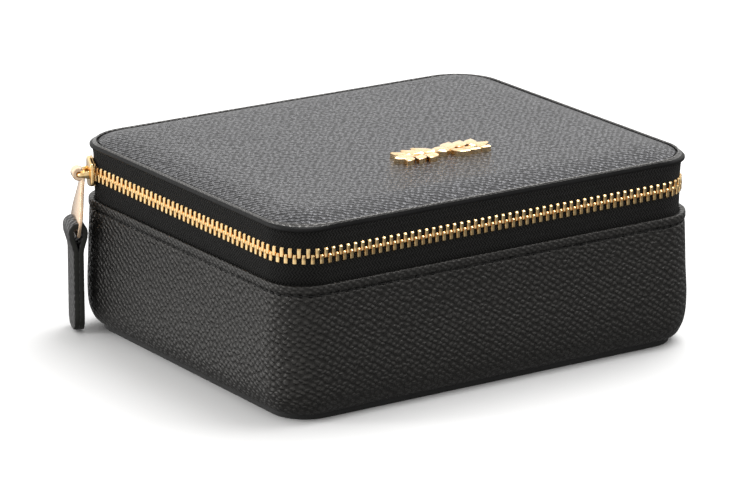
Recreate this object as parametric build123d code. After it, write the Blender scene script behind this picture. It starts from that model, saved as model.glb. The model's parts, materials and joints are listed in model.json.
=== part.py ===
from build123d import *
import os
from math import cos, pi, radians, sin

# A zip-round leather jewellery case. Millimetres. The origin is the centre of the base, on
# the surface that the case stands on. The front faces -Y, +X runs to the right along the
# front, and +Z is up. "u" is how far a point lies outside the nominal outline.

# Driving dimensions
LENGTH = 148.5
DEPTH = 122.7
CORNER = 12.0
ZIP_CORNER = 14.0
BASE_CORNER = 14.0

# Heights
BASE_TOP = 2.0
FLOOR_BOARD_TOP = 4.0
FOAM_TOP = 34.0
WALL_TOP = 39.6
BINDING_TOP = 41.9
ZIP_HEIGHT = 50.4
LID_BOARD_BOTTOM = 57.6
WELT_BOTTOM = 58.0
LID_BOARD_TOP = 59.0
WELT_TOP = 60.0
LID_TOP = 62.6

# Offsets of the layers from the nominal outline
BASE_INSET = -2.9
TAPE_IN = -1.35
TAPE_OUT = -0.65
TAPE_CENTRE = (TAPE_IN + TAPE_OUT) / 2
TAPE_SIDE_GAP = 0.1
BOARD_IN = -3.8
BOARD_OUT = TAPE_IN
LINING_THICK = 0.7
LINING_IN = BOARD_IN - LINING_THICK
LID_PANEL_IN = -2.3
LID_LINING_OUT = -5.4

# Zip
TOOTH_PITCH = 2.5
TOOTH_THICK = 1.15
TOOTH_HALF_DEPTH = 1.1
TOOTH_SLOT = 0.4
TOOTH_OVERLAP = 0.55
TOOTH_REACH = 2.45
TOOTH_HEAD = 0.9
TAPE_MARGIN_BOTTOM = 35.0
TAPE_GAP = 1.0
TAPE_NOTCH = 2.35
ROW_SPREAD = 1.4
SPREAD_START = 2.0
SPREAD_END = -4.4
ZIP_END_ANGLE = 58.0
STOP_RUN = 6.4

# Slider, pull and leather tab
SLIDER_ANGLE = 20.0
SLIDER_HALF = 4.2
CAVITY_IN = -2.0
CAVITY_OUT = 1.25
INNER_PLATE = 1.0
OUTER_PLATE = 1.2
FLANGE = 0.8
ROD_OFFSET = 5.75
ROD_RADIUS = 0.75
EYE_BORE = 0.85
EYE_OUTER = 2.05
EYE_LENGTH = 4.2
LEG_INNER = 2.4
LEG_OUTER = 3.6
PULL_THICK = 1.05
PULL_LENGTH = 18.6
PULL_LEAN = 8.5
CROSSBAR_HEIGHT = 1.4
SLOT_HEIGHT = 2.55
SLOT_HALF = 5.9
PULL_HALF = 6.9
TAB_WIDTH = 11.4
TAB_THICK = 3.6
TAB_LOOP = 3.0
TAB_BORE = 1.15
TAB_CLEARANCE = 0.7

# Lid emblem
EMBLEM_X = 2.4
EMBLEM_Y = -25.5
EMBLEM_THICK = 1.8
POST_SPACING = 18.0
POST_RADIUS = 0.8
WASHER_RADIUS = 3.0
WASHER_THICK = 0.4

# Inside fittings
DIVIDER_THICK = 2.4
DIVIDER_TOP = 39.0
RING_BAY_EDGE = -21.6
RING_BLOCK_TOP = 20.0
ROLL_RADIUS = 5.6
ROLL_PITCH = 11.4
ROLL_FIRST = -62.4
ROLL_LENGTH = 92.0
ROLL_COUNT = 4
SHORT_DIVIDER_X = 25.2
SMALL_GAP = 0.1

HALF_X = LENGTH / 2
HALF_Y = DEPTH / 2
FAR = 100.0


def prism(u, corner, low, high):
    """Rounded upright block, u outside the nominal outline, between two heights."""
    shape = RectangleRounded(LENGTH + 2 * u, DEPTH + 2 * u, corner + u)
    return Location((0, 0, low)) * extrude(shape, high - low)


def block(x, y, z):
    """Plain block from three (low, high) pairs."""
    size = (x[1] - x[0], y[1] - y[0], z[1] - z[0])
    middle = ((x[0] + x[1]) / 2, (y[0] + y[1]) / 2, (z[0] + z[1]) / 2)
    return Location(middle) * Box(*size)


def section(edges):
    """Face in the XZ plane, from (u, z) points or ready-made edges."""
    if isinstance(edges[0], tuple):
        edges = [Polyline(*[(u, 0, z) for u, z in edges], close=True)]
    return make_face(edges)


def ring(face, corner):
    """Carry a (u, z) section round the four sides and four corners of the outline."""
    solids = []
    for turn in range(4):
        out, span = (HALF_X, HALF_Y) if turn % 2 == 0 else (HALF_Y, HALF_X)
        straight = span - corner
        side = extrude(Location((out, -straight, 0)) * face, 2 * straight, dir=(0, 1, 0))
        axis = Axis((out - corner, straight, 0), (0, 0, 1))
        bend = revolve(Location((out, straight, 0)) * face, axis, 90)
        solids += [Rotation(0, 0, 90 * turn) * piece for piece in (side, bend)]
    return solids[0].fuse(*solids[1:]).clean()


def back_zone():
    """The region behind the zip's two ends, where the lid hinges."""
    centre_x = HALF_X - ZIP_CORNER
    centre_y = HALF_Y - ZIP_CORNER
    reach = FAR / 2
    ray_x = centre_x + reach * cos(radians(ZIP_END_ANGLE))
    ray_y = centre_y + reach * sin(radians(ZIP_END_ANGLE))
    points = [(-centre_x, centre_y), (centre_x, centre_y), (ray_x, ray_y), (-ray_x, ray_y)]
    return extrude(make_face(Polyline(*points, close=True)), FAR)


# Case body

def base_leather():
    return prism(BASE_INSET, BASE_CORNER, 0, BASE_TOP)


def base_board():
    return prism(BASE_INSET - SMALL_GAP, BASE_CORNER, BASE_TOP, FLOOR_BOARD_TOP)


LEATHER_INNER = [(-1.25, 4.0), (-0.8, 6.0), (0.3, 10.0), (0.35, 18.0), (-0.2, 29.0), (-0.35, FOAM_TOP)]


def wall_leather():
    """Padded skin: fullest near the floor, almost upright at the top."""
    outer = [(-1.8, BASE_TOP), (0.2, 5.0), (1.4, 10.0), (1.45, 18.0), (0.8, 29.0), (0.45, WALL_TOP)]
    curve = Spline(*[(u, 0, z) for u, z in outer])
    inner = [outer[-1], (TAPE_OUT + TAPE_SIDE_GAP, WALL_TOP), (TAPE_OUT + TAPE_SIDE_GAP, FOAM_TOP)]
    inner += LEATHER_INNER[::-1] + [(BASE_INSET, BASE_TOP), outer[0]]
    back = Polyline(*[(u, 0, z) for u, z in inner])
    skin = ring(section([curve, back]), CORNER)
    return skin - prism(TAPE_OUT + TAPE_SIDE_GAP, ZIP_CORNER, FOAM_TOP, WALL_TOP)


def wall_foam():
    deep = -9.0
    points = LEATHER_INNER + [(deep, FOAM_TOP), (deep, FLOOR_BOARD_TOP)]
    filled = ring(section(points), CORNER)
    return filled - prism(BOARD_OUT, ZIP_CORNER, FLOOR_BOARD_TOP, FOAM_TOP)


def wall_board():
    outside = prism(BOARD_OUT, ZIP_CORNER, FLOOR_BOARD_TOP, FOAM_TOP)
    upper = prism(BOARD_OUT - TAPE_SIDE_GAP, ZIP_CORNER, FOAM_TOP, BINDING_TOP - 0.5)
    inside = prism(BOARD_IN, ZIP_CORNER, FLOOR_BOARD_TOP, BINDING_TOP)
    return outside + upper - inside


def top_edge_binding():
    outer = 0.65
    inner = -6.0
    high = BINDING_TOP
    edge = 0.8
    bend_mid = (outer - edge * (1 - cos(radians(45))), 0, high - edge * (1 - sin(radians(45))))
    arc = ThreePointArc((outer, 0, high - edge), bend_mid, (outer - edge, 0, high))
    lines = Polyline((outer - edge, 0, high), (inner, 0, high), (inner, 0, WALL_TOP),
                     (outer, 0, WALL_TOP), (outer, 0, high - edge))
    strip = ring(section([arc, lines]), CORNER)
    return strip - prism(TAPE_OUT + TAPE_SIDE_GAP, ZIP_CORNER, WALL_TOP, high)


def body_lining():
    lip_top = BINDING_TOP + 0.2
    board_top = BINDING_TOP - 0.5
    tub = prism(BOARD_IN, ZIP_CORNER, FLOOR_BOARD_TOP, board_top)
    lip = prism(BOARD_OUT - TAPE_SIDE_GAP, ZIP_CORNER, board_top, lip_top)
    hollow = prism(LINING_IN, ZIP_CORNER, FLOOR_BOARD_TOP + LINING_THICK, lip_top)
    return tub + lip - hollow


# Zip

def zip_place(run):
    """Frame on the tape's centre line: x outwards, y towards the front end of the zip.

    run is the distance along the zip from the parked slider, which sits on the rear left
    corner; it grows along the left side, the front and the right side.
    """
    radius = ZIP_CORNER + TAPE_CENTRE
    centre_x = HALF_X - ZIP_CORNER
    centre_y = HALF_Y - ZIP_CORNER
    quarter = radius * pi / 2
    run = run - radius * radians(SLIDER_ANGLE) + quarter
    corners = [(-centre_x, centre_y, 90), (-centre_x, -centre_y, 180),
               (centre_x, -centre_y, 270), (centre_x, centre_y, 360)]
    sides = [2 * centre_y, 2 * centre_x, 2 * centre_y]
    for index, (x, y, start) in enumerate(corners):
        if run <= quarter or index == 3:
            angle = start + run / radius * 180 / pi
            return Location((x, y, 0)) * Rotation(0, 0, angle) * Location((radius, 0, 0))
        run = run - quarter
        if run <= sides[index]:
            frame = Rotation(0, 0, start + 90) * Location((radius, run, 0))
            return Location((x, y, 0)) * frame
        run = run - sides[index]


def zip_length():
    """Run from the parked slider to the far end of the chain."""
    radius = ZIP_CORNER + TAPE_CENTRE
    straights = 4 * (HALF_Y - ZIP_CORNER) + 2 * (HALF_X - ZIP_CORNER)
    return straights + radius * (pi + radians(SLIDER_ANGLE) + radians(ZIP_END_ANGLE - 10))


def row_spread(run):
    """How far a row has parted from the middle as it passes the slider's diamond."""
    part = (SPREAD_START - run) / (SPREAD_START - SPREAD_END)
    part = min(max(part, 0), 1)
    return ROW_SPREAD * part * part * (3 - 2 * part)


def tooth(reach):
    """One lower tooth, straddling the tape's top edge; z is measured from the zip's middle."""
    slot_top = -TOOTH_HEAD
    depth = TOOTH_HALF_DEPTH
    points = [(depth, -reach), (depth, TOOTH_OVERLAP), (-depth, TOOTH_OVERLAP), (-depth, -reach),
              (-TOOTH_SLOT, -reach), (-TOOTH_SLOT, slot_top), (TOOTH_SLOT, slot_top),
              (TOOTH_SLOT, -reach)]
    return extrude(section(points), TOOTH_THICK / 2, both=True)


def tooth_row(upper):
    """All the teeth of one row; the upper row is the lower one turned over, half a pitch on."""
    shape = tooth(TOOTH_REACH)
    turned = Rotation(180, 0, 0) * shape
    first = SPREAD_END + TOOTH_PITCH / 2
    count = int((zip_length() - first) / TOOTH_PITCH)
    teeth = []
    for index in range(count):
        run = first + TOOTH_PITCH * (index + (0.5 if upper else 0))
        shift = row_spread(run)
        height = ZIP_HEIGHT + (shift if upper else -shift)
        place = zip_place(run) * Location((0, 0, height))
        teeth.append(place * (turned if upper else shape))
    return Compound(children=teeth)


def tape_ring(low, high):
    return prism(TAPE_OUT, ZIP_CORNER, low, high) - prism(TAPE_IN, ZIP_CORNER, low, high)


def slider_zone(low, high):
    """Space round the parked slider in which the tape edges part."""
    start = zip_place(SPREAD_START)
    size = 14.0
    return start * Location((0, -size / 2, (low + high) / 2)) * Box(10, size, high - low)


def zip_tape_lower():
    edge = ZIP_HEIGHT - TAPE_GAP
    tape = tape_ring(TAPE_MARGIN_BOTTOM, edge) - back_zone()
    return tape - slider_zone(ZIP_HEIGHT - TAPE_NOTCH, edge + 1)


def zip_tape_upper():
    edge = ZIP_HEIGHT + TAPE_GAP
    tape = tape_ring(edge, WELT_BOTTOM + 0.6) - back_zone()
    return tape - slider_zone(edge - 1, ZIP_HEIGHT + TAPE_NOTCH)


def zip_top_stop(upper):
    half = 0.8
    reach = 2.6
    shape = extrude(section([(TOOTH_HALF_DEPTH, -reach), (TOOTH_HALF_DEPTH, 0.2),
                             (-TOOTH_HALF_DEPTH, 0.2), (-TOOTH_HALF_DEPTH, -reach),
                             (-TOOTH_SLOT, -reach), (-TOOTH_SLOT, -TOOTH_HEAD),
                             (TOOTH_SLOT, -TOOTH_HEAD), (TOOTH_SLOT, -reach)]), half, both=True)
    shape = Rotation(180, 0, 0) * shape if upper else shape
    height = ZIP_HEIGHT + (ROW_SPREAD if upper else -ROW_SPREAD)
    return zip_place(-STOP_RUN) * Location((0, 0, height)) * shape


def zip_bottom_stop():
    half = 0.9
    reach = 2.4
    top = 0.85
    points = [(TOOTH_HALF_DEPTH, -reach), (TOOTH_HALF_DEPTH, top), (-TOOTH_HALF_DEPTH, top),
              (-TOOTH_HALF_DEPTH, -reach), (-TOOTH_SLOT, -reach), (-TOOTH_SLOT, -TOOTH_HEAD),
              (TOOTH_SLOT, -TOOTH_HEAD), (TOOTH_SLOT, -reach)]
    shape = extrude(section(points), half, both=True)
    return zip_place(zip_length() + 1.2) * Location((0, 0, ZIP_HEIGHT)) * shape


# Slider and pull, each drawn in the parked slider's frame: x outwards, y towards the front

def slider_frame():
    return zip_place(0) * Location((0, 0, ZIP_HEIGHT))


def slider_outline(shrink):
    """Side view of the slider: wide at the nose, narrower at the tail."""
    nose, tail = -SLIDER_HALF, SLIDER_HALF
    heights = [(nose, 3.7), (nose + 1.2, 4.7), (0.4, 4.4), (tail - 0.8, 3.6), (tail, 3.0)]
    rising = [(y, z - shrink) for y, z in heights]
    falling = [(y, shrink - z) for y, z in heights[::-1]]
    return make_face(Polyline(*[(0, y, z) for y, z in rising + falling], close=True))


def slider_slab(low, high, shrink=0.0):
    face = Location((low, 0, 0)) * slider_outline(shrink)
    return extrude(face, high - low, dir=(1, 0, 0))


def slider_body():
    """Two plates, the lips that guide the chain, and the diamond that joins the plates."""
    inner = slider_slab(CAVITY_IN - INNER_PLATE, CAVITY_IN)
    outer = slider_slab(CAVITY_OUT, CAVITY_OUT + OUTER_PLATE)
    lips = slider_slab(CAVITY_OUT - 0.5, CAVITY_OUT) + slider_slab(CAVITY_IN, CAVITY_IN + 0.4)
    lips = lips - slider_slab(CAVITY_IN - 1, CAVITY_OUT + 1, FLANGE)
    ends = block((CAVITY_IN, CAVITY_OUT), (-FAR, FAR), (-3.2, 3.2))
    lips = lips - ends
    points = [(0, -2.3, 0), (0, -SLIDER_HALF, 0.75), (0, -SLIDER_HALF, -0.75)]
    wedge = make_face(Polyline(*points, close=True))
    diamond = extrude(Location((CAVITY_IN, 0, 0)) * wedge, CAVITY_OUT - CAVITY_IN, dir=(1, 0, 0))
    body = inner + outer + lips + diamond
    return slider_frame() * body


def slider_bridge():
    """Two legs on the outer plate, with the rod that the pull hangs from."""
    foot = CAVITY_OUT + OUTER_PLATE
    top = ROD_OFFSET + ROD_RADIUS + 0.2
    half = 1.2
    legs = block((foot, top), (LEG_INNER, LEG_OUTER), (-half, half))
    legs = legs + block((foot, top), (-LEG_OUTER, -LEG_INNER), (-half, half))
    rod = Location((ROD_OFFSET, 0, 0)) * Rotation(90, 0, 0) * Cylinder(ROD_RADIUS, 2 * LEG_INNER + 1)
    return slider_frame() * (legs + rod)


def pull_frame():
    return slider_frame() * Location((ROD_OFFSET, 0, 0))


def pull_plate():
    """Flared plate with a rolled eye at the top and a slot above the crossbar."""
    eye = Rotation(90, 0, 0) * Cylinder(EYE_OUTER, EYE_LENGTH)
    flare = [(EYE_LENGTH / 2, 0.0), (2.6, -4.0), (PULL_HALF, -12.5), (PULL_HALF, -PULL_LENGTH)]
    points = [(0, y, z) for y, z in flare] + [(0, -y, z) for y, z in flare[::-1]]
    face = Location((-EYE_OUTER, 0, 0)) * make_face(Polyline(*points, close=True))
    plate = extrude(face, PULL_THICK, dir=(1, 0, 0))
    slot_low = CROSSBAR_HEIGHT - PULL_LENGTH
    slot = block((-3, 0), (-SLOT_HALF, SLOT_HALF), (slot_low, slot_low + SLOT_HEIGHT))
    bore = Rotation(90, 0, 0) * Cylinder(EYE_BORE, EYE_LENGTH + 1)
    shape = eye + plate - slot - bore
    return pull_frame() * Rotation(0, -PULL_LEAN, 0) * shape


def crossbar_point():
    """Middle of the crossbar, as (outward, up) from the rod."""
    out = -EYE_OUTER + PULL_THICK / 2
    down = -PULL_LENGTH + CROSSBAR_HEIGHT / 2
    lean = radians(PULL_LEAN)
    return out * cos(lean) - down * sin(lean), out * sin(lean) + down * cos(lean)


def pull_leather():
    """Folded strip that loops round the crossbar and hangs down to just above the floor."""
    out, down = crossbar_point()
    bottom = TAB_CLEARANCE - (ZIP_HEIGHT + down)
    half = TAB_THICK / 2
    shoulder = TAB_LOOP - 0.06
    neck = -7.0
    points = [(shoulder, -0.5), (half, neck), (half, bottom), (-half, bottom), (-half, neck),
              (-shoulder, -0.5)]
    strip = extrude(section(points), TAB_WIDTH / 2, both=True)
    loop = Rotation(90, 0, 0) * Cylinder(TAB_LOOP, TAB_WIDTH)
    bore = Rotation(90, 0, 0) * Cylinder(TAB_BORE, TAB_WIDTH + 1)
    shape = strip + loop - bore
    corners = shape.edges().filter_by(Axis.X).group_by(Axis.Z)[0]
    shape = fillet(corners, 3.4)
    return pull_frame() * Location((out, 0, down)) * shape


# Lid

def lid_welt():
    rim = prism(0, CORNER, WELT_BOTTOM, WELT_TOP)
    rim = fillet(rim.faces().sort_by(Axis.Z)[-1].edges(), 0.7)
    rim = fillet(rim.faces().sort_by(Axis.Z)[0].edges(), 0.35)
    below = prism(TAPE_OUT + TAPE_SIDE_GAP, ZIP_CORNER, WELT_BOTTOM, LID_BOARD_TOP)
    above = prism(LID_PANEL_IN, CORNER, LID_BOARD_TOP, WELT_TOP)
    return rim - below - above


def crown(points):
    """Panel that rises from the welt to a level middle, from its (u, z) border line."""
    flat = points[-1][0]
    low = LID_BOARD_TOP
    high = points[-1][1]
    border = ring(section([(points[0][0], low)] + points + [(flat, low)]), CORNER)
    return border + prism(flat, CORNER, low, high)


def crown_line(drop):
    border = [(LID_PANEL_IN, 59.9), (-5.0, 61.1), (-8.0, 61.95), (-11.5, LID_TOP)]
    return [(u, z - drop) for u, z in border]


def post_holes(radius, low, high):
    holes = [block_post(side, radius, low, high) for side in (-1, 1)]
    return holes[0] + holes[1]


def block_post(side, radius, low, high):
    place = Location((EMBLEM_X + side * POST_SPACING / 2, EMBLEM_Y, (low + high) / 2))
    return place * Cylinder(radius, high - low)


LEATHER_DROP = 1.0


def lid_foam():
    line = crown_line(LEATHER_DROP)
    line[0] = (LID_PANEL_IN, LID_BOARD_TOP + 0.1)
    holes = post_holes(POST_RADIUS + 0.05, LID_BOARD_TOP - 1, LID_TOP)
    return crown(line) - holes


def lid_leather():
    line = crown_line(LEATHER_DROP)
    line[0] = (LID_PANEL_IN, LID_BOARD_TOP + 0.1)
    holes = post_holes(POST_RADIUS + 0.05, LID_BOARD_TOP - 1, LID_TOP + 1)
    return crown(crown_line(0)) - crown(line) - holes


def lid_board():
    board = prism(BOARD_OUT - TAPE_SIDE_GAP, ZIP_CORNER, LID_BOARD_BOTTOM, LID_BOARD_TOP)
    recess = post_holes(WASHER_RADIUS + 0.1, LID_BOARD_BOTTOM, LID_BOARD_BOTTOM + WASHER_THICK)
    return board - recess - post_holes(POST_RADIUS + 0.05, LID_BOARD_BOTTOM, LID_BOARD_TOP)


def lid_lining_panel():
    return prism(LID_LINING_OUT, ZIP_CORNER, LID_BOARD_BOTTOM - 0.9, LID_BOARD_BOTTOM)


def lid_pocket():
    top = LID_BOARD_BOTTOM - 0.9
    pocket = block((-58, 58), (-50, 12), (top - 1.1, top))
    return fillet(pocket.edges().filter_by(Axis.Z), 6)


def leaf(x, y, angle, length):
    """One leaf: a lens from two arcs, raised as a thin solid."""
    half = length / 2
    bulge = length * 0.2
    arcs = [ThreePointArc((-half, 0), (0, bulge), (half, 0)),
            ThreePointArc((half, 0), (0, -bulge), (-half, 0))]
    return Location((x, y, 0)) * Rotation(0, 0, angle) * extrude(make_face(arcs), EMBLEM_THICK)


def emblem():
    """A symmetrical sprig of leaves round a bead, with two posts for fixing."""
    stem = Location((0, -1.2, 0.5)) * Box(24, 1.1, 1.0)
    bead = Location((0, -0.6, EMBLEM_THICK / 2)) * Cylinder(2.5, EMBLEM_THICK)
    shape = stem + bead
    for side in (-1, 1):
        for step in range(3):
            x = side * (4.6 + 4.4 * step)
            shape += leaf(x, 1.2, 90 - side * 32, 7.4 - step)
            shape += leaf(x, -3.2, 90 + side * 40, 5.4 - 0.6 * step)
        shape += leaf(side * 14.4, -1.2, 0, 6.6)
        shape += Location((side * POST_SPACING / 2, 0, EMBLEM_THICK / 2)) * Cylinder(1.2, EMBLEM_THICK)
    shape = Location((EMBLEM_X, EMBLEM_Y, LID_TOP)) * shape
    return shape + post_holes(POST_RADIUS, LID_BOARD_BOTTOM + 0.1, LID_TOP + 0.5)


def emblem_washers():
    low = LID_BOARD_BOTTOM + 0.02
    high = LID_BOARD_BOTTOM + WASHER_THICK
    washers = []
    for side in (-1, 1):
        disc = block_post(side, WASHER_RADIUS, low, high)
        washers.append(disc - block_post(side, POST_RADIUS + 0.05, low, high))
    return Compound(children=washers)


# Hinge

def hinge_leather():
    return tape_ring(TAPE_MARGIN_BOTTOM, WELT_BOTTOM + 0.6) & back_zone()


def hinge_lining():
    low = BINDING_TOP + 0.25
    outer = prism(BOARD_OUT - 0.2, ZIP_CORNER, low, LID_BOARD_BOTTOM)
    return (outer - prism(BOARD_OUT - 0.9, ZIP_CORNER, low, LID_BOARD_BOTTOM)) & back_zone()


# Inside fittings

FLOOR = FLOOR_BOARD_TOP + LINING_THICK


def cavity(low, high):
    return prism(LINING_IN - SMALL_GAP, ZIP_CORNER, low, high)


def ring_block():
    return cavity(FLOOR, RING_BLOCK_TOP) & block((-FAR, RING_BAY_EDGE), (-FAR, FAR), (0, FAR))


def ring_roll(index):
    x = ROLL_FIRST + index * ROLL_PITCH
    place = Location((x, 0, RING_BLOCK_TOP + ROLL_RADIUS)) * Rotation(90, 0, 0)
    roll = Cylinder(ROLL_RADIUS, ROLL_LENGTH)
    return place * fillet(roll.edges().filter_by(GeomType.CIRCLE), 1.5)


def divider_long():
    low = RING_BAY_EDGE + SMALL_GAP
    wall = block((low, low + DIVIDER_THICK), (-FAR, FAR), (FLOOR, DIVIDER_TOP))
    return wall & cavity(FLOOR, DIVIDER_TOP)


def divider_cross():
    low = RING_BAY_EDGE + DIVIDER_THICK + 2 * SMALL_GAP
    half = DIVIDER_THICK / 2
    return block((low, FAR), (-half, half), (FLOOR, DIVIDER_TOP)) & cavity(FLOOR, DIVIDER_TOP)


def divider_short():
    half = DIVIDER_THICK / 2
    x = (SHORT_DIVIDER_X - half, SHORT_DIVIDER_X + half)
    return block(x, (half + SMALL_GAP, FAR), (FLOOR, DIVIDER_TOP)) & cavity(FLOOR, DIVIDER_TOP)


def all_parts():
    parts = {
        "base_leather": base_leather(),
        "base_board": base_board(),
        "wall_leather": wall_leather(),
        "wall_foam": wall_foam(),
        "wall_board": wall_board(),
        "top_edge_binding": top_edge_binding(),
        "body_lining": body_lining(),
        "zip_tape_lower": zip_tape_lower(),
        "zip_tape_upper": zip_tape_upper(),
        "zip_teeth_lower": tooth_row(False),
        "zip_teeth_upper": tooth_row(True),
        "zip_top_stop_lower": zip_top_stop(False),
        "zip_top_stop_upper": zip_top_stop(True),
        "zip_bottom_stop": zip_bottom_stop(),
        "slider_body": slider_body(),
        "slider_bridge": slider_bridge(),
        "pull_plate": pull_plate(),
        "pull_leather": pull_leather(),
        "lid_welt": lid_welt(),
        "lid_leather": lid_leather(),
        "lid_foam": lid_foam(),
        "lid_board": lid_board(),
        "lid_lining_panel": lid_lining_panel(),
        "lid_pocket": lid_pocket(),
        "emblem": emblem(),
        "emblem_washers": emblem_washers(),
        "hinge_leather": hinge_leather(),
        "hinge_lining": hinge_lining(),
        "ring_block": ring_block(),
        "divider_long": divider_long(),
        "divider_cross": divider_cross(),
        "divider_short": divider_short(),
    }
    for index in range(ROLL_COUNT):
        parts[f"ring_roll_{index + 1}"] = ring_roll(index)
    return parts


os.makedirs("parts", exist_ok=True)
for name, shape in all_parts().items():
    export_step(shape, f"parts/{name}.step")
    print(name, round(shape.volume, 2))
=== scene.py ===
import json
import random
from math import cos, hypot, pi, radians, sin, sqrt

import bmesh
import bpy
from mathutils import Matrix, Vector, noise


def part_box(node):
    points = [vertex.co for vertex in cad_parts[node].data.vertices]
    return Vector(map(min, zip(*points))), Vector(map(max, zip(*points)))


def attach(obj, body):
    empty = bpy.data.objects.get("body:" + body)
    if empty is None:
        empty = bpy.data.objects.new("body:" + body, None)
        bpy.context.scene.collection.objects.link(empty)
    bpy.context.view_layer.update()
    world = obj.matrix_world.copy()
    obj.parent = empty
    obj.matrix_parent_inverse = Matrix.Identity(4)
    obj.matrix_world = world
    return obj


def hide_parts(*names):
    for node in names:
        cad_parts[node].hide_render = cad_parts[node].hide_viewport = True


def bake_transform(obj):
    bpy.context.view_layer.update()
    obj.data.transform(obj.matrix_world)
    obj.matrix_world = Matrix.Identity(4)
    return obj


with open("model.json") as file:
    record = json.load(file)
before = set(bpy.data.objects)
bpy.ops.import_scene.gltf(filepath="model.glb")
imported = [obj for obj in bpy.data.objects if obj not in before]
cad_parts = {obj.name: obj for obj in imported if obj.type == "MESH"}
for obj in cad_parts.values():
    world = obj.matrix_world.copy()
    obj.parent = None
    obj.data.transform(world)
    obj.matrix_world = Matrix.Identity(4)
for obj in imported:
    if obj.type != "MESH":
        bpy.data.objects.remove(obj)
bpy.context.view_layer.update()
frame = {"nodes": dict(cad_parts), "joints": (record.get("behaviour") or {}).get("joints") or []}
scene = bpy.context.scene
scene.view_settings.view_transform = "Standard"

MM = 0.001


def joint(name):
    return next(j for j in frame["joints"] if j["name"] == name)


# Sizes from the frame, in millimetres. u is the distance outside the nominal outline.

def box_of(node):
    """A node's low and high corners, in millimetres."""
    return [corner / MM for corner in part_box(node)]


def top_of(node):
    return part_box(node)[1].z / MM


def bottom_of(node):
    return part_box(node)[0].z / MM


HALF_X, HALF_Y = (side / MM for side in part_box("lid_welt")[1].xy)
BASE_TOP = top_of("base_leather")
FOAM_TOP = top_of("wall_foam")
WALL_TOP = bottom_of("top_edge_binding")
BINDING_TOP = top_of("top_edge_binding")
WELT_BOTTOM = bottom_of("lid_welt")
WELT_TOP = top_of("lid_welt")
LID_TOP = top_of("lid_leather")
LID_BOARD_BOTTOM = bottom_of("lid_board")
FLOOR_TOP = bottom_of("divider_long")
BOARD_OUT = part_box("lid_board")[1].x / MM - HALF_X + 0.1
BOARD_IN = -3.8
LINING_IN = BOARD_IN - 0.7
ZIP_HEIGHT = joint("lid_hinge")["pos_m"][2] / MM
ZIP_CORNER = HALF_X + joint("slider_run")["pos_m"][0] / MM
CORNER = 12.0
SLIDER_ANGLE = 20.0  # degrees round the rear left corner from the left side to the parked slider
ZIP_END_ANGLE = 58.0  # degrees round each rear corner to the tape's end
ZIP_END_GAP = 10.0  # degrees left without teeth before the tape's far end
TAPE_CENTRE = -1.0
ZIP_RADIUS = ZIP_CORNER + TAPE_CENTRE
ZIP_STRAIGHTS = 4 * (HALF_Y - ZIP_CORNER) + 2 * (HALF_X - ZIP_CORNER)
TOOTH_PITCH = 2.5
TOOTH_LEAN = 1.2  # degrees a tooth may lean either way
ROW_SPREAD = 1.4  # how far each row moves away past the slider
SPREAD_START = 2.0
SPREAD_END = -4.4

# Positions round the outline run from 0 to 8: side, corner, side, corner, from the right side
# anticlockwise. 3.x is the rear left corner, 4.x the left side, 6.x the front, 8.x the right.
ZIP_START = 4 - ZIP_END_ANGLE / 90
ZIP_FINISH = 9 + ZIP_END_ANGLE / 90

# Steps along a side and round a corner where the surface has to look smooth, and the size of the
# gentle waves in padded leather.
FINE_STEPS = (40, 16)
WOBBLE_SIZE = 14.0


# ---- outline and mesh helpers

def outline(position, u, corner):
    """Point and outward normal on the rounded outline, in millimetres."""
    index = int(position) % 8
    part = position - int(position)
    side = index // 2
    out, span = (HALF_X, HALF_Y) if side % 2 == 0 else (HALF_Y, HALF_X)
    straight = span - corner
    if index % 2 == 0:
        point = Vector((out + u, straight * (2 * part - 1)))
        normal = Vector((1, 0))
    else:
        normal = Vector((cos(part * pi / 2), sin(part * pi / 2)))
        point = Vector((out - corner, straight)) + (corner + u) * normal
    turn = Matrix.Rotation(side * pi / 2, 2)
    return turn @ point, turn @ normal


def unit_length(index, corner, u=0.0):
    """Length of one side or one corner."""
    if index % 2:
        return (corner + u) * pi / 2
    span = HALF_Y if (index // 2) % 2 == 0 else HALF_X
    return 2 * (span - corner)


def stations(start=0.0, end=8.0, side_steps=28, corner_steps=14):
    """Positions round the outline, denser in the corners."""
    marks = [start]
    place = start
    while place < end - 1e-9:
        index = int(place + 1e-9)
        steps = corner_steps if index % 2 else side_steps
        nearest = index + (int((place - index) * steps + 1e-6) + 1) / steps
        place = min(nearest, end)
        marks.append(place)
    return marks


def run_length(position, corner):
    """Distance round the nominal outline from position 0."""
    whole = int(position + 1e-9)
    total = sum(unit_length(i % 8, corner) for i in range(whole))
    return total + (position - whole) * unit_length(whole % 8, corner)


def position_at(length, corner, u=0.0, index=0):
    """Position round the outline at a distance from a whole position."""
    while length > unit_length(index % 8, corner, u):
        length -= unit_length(index % 8, corner, u)
        index += 1
    return index + length / unit_length(index % 8, corner, u)


def place_at(position, u, corner, z):
    """Matrix at a point of the outline: x outwards, z up."""
    spot, normal = outline(position, u, corner)
    turn = Matrix.Rotation(normal.angle_signed(Vector((1, 0)), 0), 4, "Z")
    return Matrix.Translation(Vector((spot.x, spot.y, z)) * MM) @ turn


def circle(steps):
    """Evenly spaced angles round a full turn."""
    return [2 * pi * step / steps for step in range(steps)]


def new_object(mesh, material, angle=None):
    """Link a mesh as a smooth object; edges bent by more than angle, in degrees, stay sharp."""
    obj = bpy.data.objects.new(mesh.name, mesh)
    scene.collection.objects.link(obj)
    mesh.materials.append(material)
    mesh.shade_smooth()
    if angle:
        mesh.set_sharp_from_angle(angle=radians(angle))
    return obj


def add_piece(mesh, material, body, node, angle=None):
    """A visible piece that rides on a body and stands for a CAD node, if one is given."""
    obj = new_object(mesh, material, angle)
    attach(obj, body)
    if node:
        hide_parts(node)
    return obj


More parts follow.
